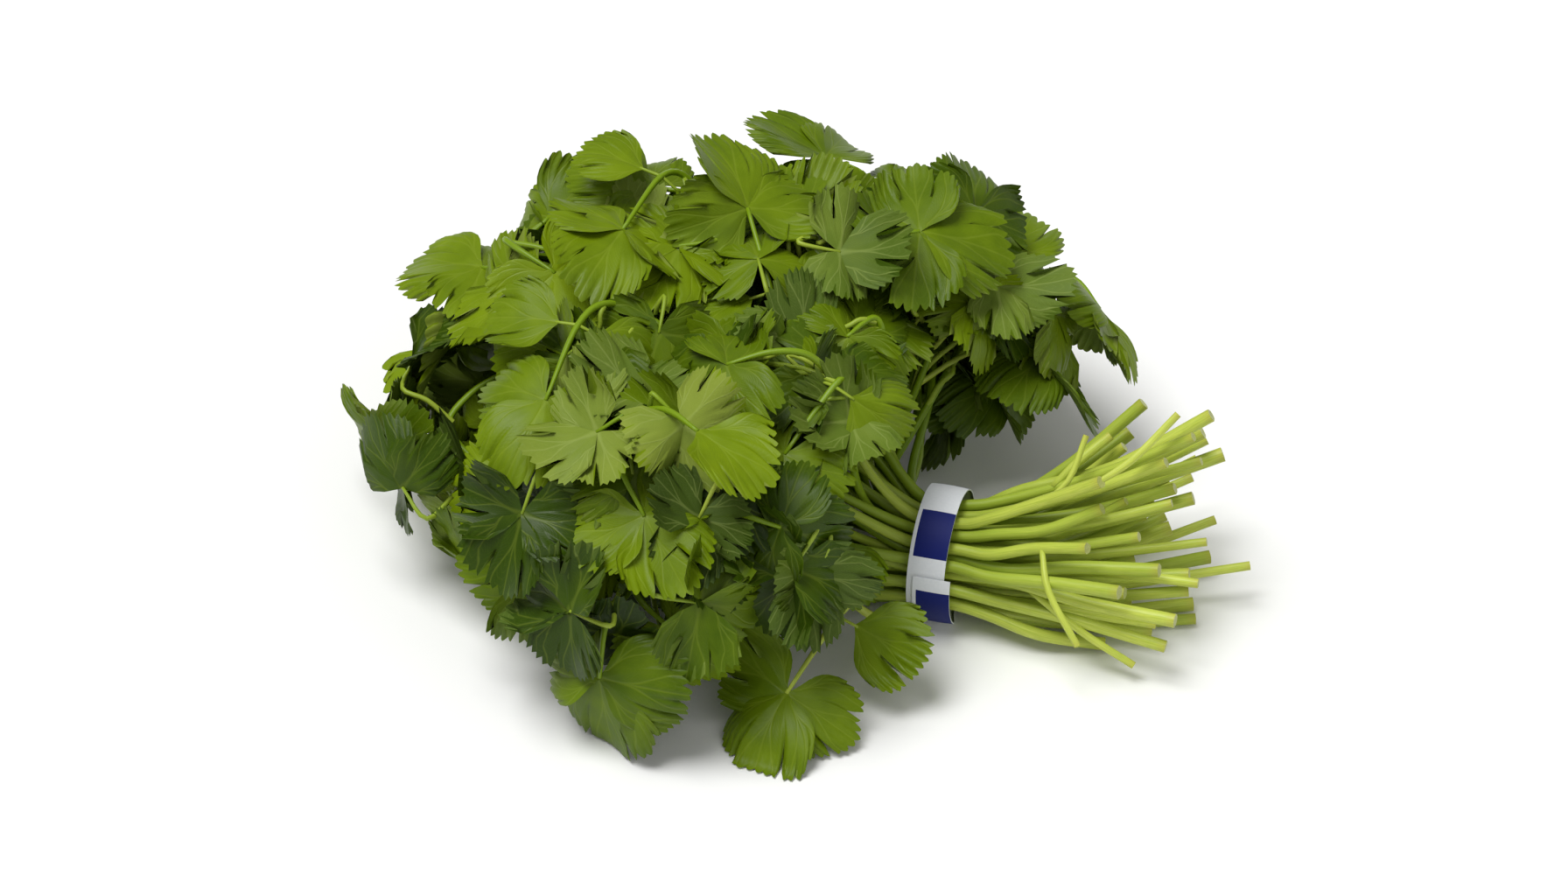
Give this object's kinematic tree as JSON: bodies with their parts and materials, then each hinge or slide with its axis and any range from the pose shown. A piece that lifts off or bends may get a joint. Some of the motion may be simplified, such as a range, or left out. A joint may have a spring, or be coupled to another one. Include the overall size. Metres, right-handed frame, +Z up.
{
  "type": "coriander bunch",
  "caption": "Fresh bunch of coriander lying on its side: leafy stems in a rounded head, gathered by one paper strip tie, with fanned cut ends and a loose sprig in front.",
  "frame": {"origin": "on the table, in the middle of the flat spot under the tie", "axes": "+X along the bunch from the leafy head to the cut ends, +Z up from the table, +Y to the back"},
  "size_m": [0.3005, 0.225, 0.1323],
  "materials": {
    "coriander": "soft fresh leaf, slightly waxy",
    "tie_paper": "smooth coated white paper with plain dark blue blocks"
  },
  "bodies": {
    "root": {"leafy_stem_01": "coriander", "leafy_stem_02": "coriander", "leafy_stem_03": "coriander", "leafy_stem_04": "coriander", "leafy_stem_05": "coriander", "leafy_stem_06": "coriander", "leafy_stem_07": "coriander", "leafy_stem_08": "coriander", "leafy_stem_09": "coriander", "leafy_stem_10": "coriander", "leafy_stem_11": "coriander", "leafy_stem_12": "coriander", "leafy_stem_13": "coriander", "leafy_stem_14": "coriander", "leafy_stem_15": "coriander", "leafy_stem_16": "coriander", "leafy_stem_17": "coriander", "leafy_stem_18": "coriander", "leafy_stem_19": "coriander", "leafy_stem_20": "coriander", "leafy_stem_21": "coriander", "leafy_stem_22": "coriander", "leafy_stem_23": "coriander", "leafy_stem_24": "coriander", "leafy_stem_25": "coriander", "leafy_stem_26": "coriander", "leafy_stem_27": "coriander", "leafy_stem_28": "coriander", "leafy_stem_29": "coriander", "leafy_stem_30": "coriander", "leafy_stem_31": "coriander", "leafy_stem_32": "coriander", "leafy_stem_33": "coriander", "leafy_stem_34": "coriander", "leafy_stem_35": "coriander", "leafy_stem_36": "coriander", "leafy_stem_37": "coriander", "leafy_stem_38": "coriander", "leafy_stem_39": "coriander", "leafy_stem_40": "coriander", "leafy_stem_41": "coriander", "leafy_stem_42": "coriander", "leafy_stem_43": "coriander", "leafy_stem_44": "coriander", "leafy_stem_45": "coriander", "leafy_stem_46": "coriander", "leafy_stem_47": "coriander", "leafy_stem_48": "coriander", "leafy_stem_49": "coriander", "tie": "tie_paper"}
  },
  "joints": []
}
